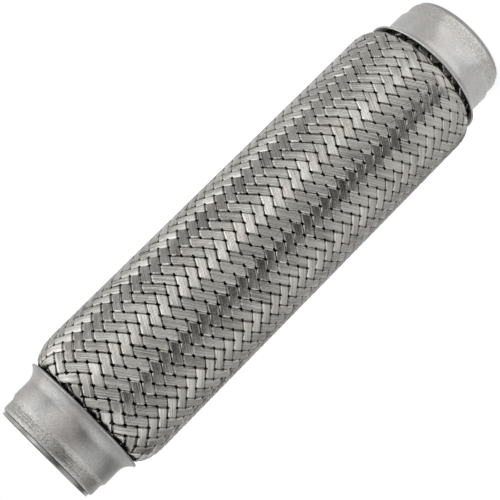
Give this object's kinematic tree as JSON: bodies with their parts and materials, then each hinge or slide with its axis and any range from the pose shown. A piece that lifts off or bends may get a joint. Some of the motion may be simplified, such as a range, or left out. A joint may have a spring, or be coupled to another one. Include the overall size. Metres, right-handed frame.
{
  "type": "exhaust flex pipe",
  "caption": "Straight exhaust flex pipe: woven steel braid over a bellows and an interlocked liner, with a pressed steel cap and a plain pipe socket at each end.",
  "frame": {"origin": "on the axis, in the plane of the lower mouth that the pipe stands on", "axes": "+Z along the axis, from the lower mouth to the upper mouth"},
  "size_m": [0.0722, 0.0722, 0.28],
  "materials": {
    "cap_steel": "matt pressed stainless sheet with a rough rolled weld band",
    "braid_wire": "drawn stainless wire, satin",
    "bellows_steel": "thin formed stainless sheet, satin",
    "liner_steel": "folded stainless strip, satin"
  },
  "bodies": {
    "root": {"lower_end_cap": "cap_steel", "upper_end_cap": "cap_steel", "outer_braid": "braid_wire", "bellows": "bellows_steel", "interlock_liner": "liner_steel"}
  },
  "joints": []
}
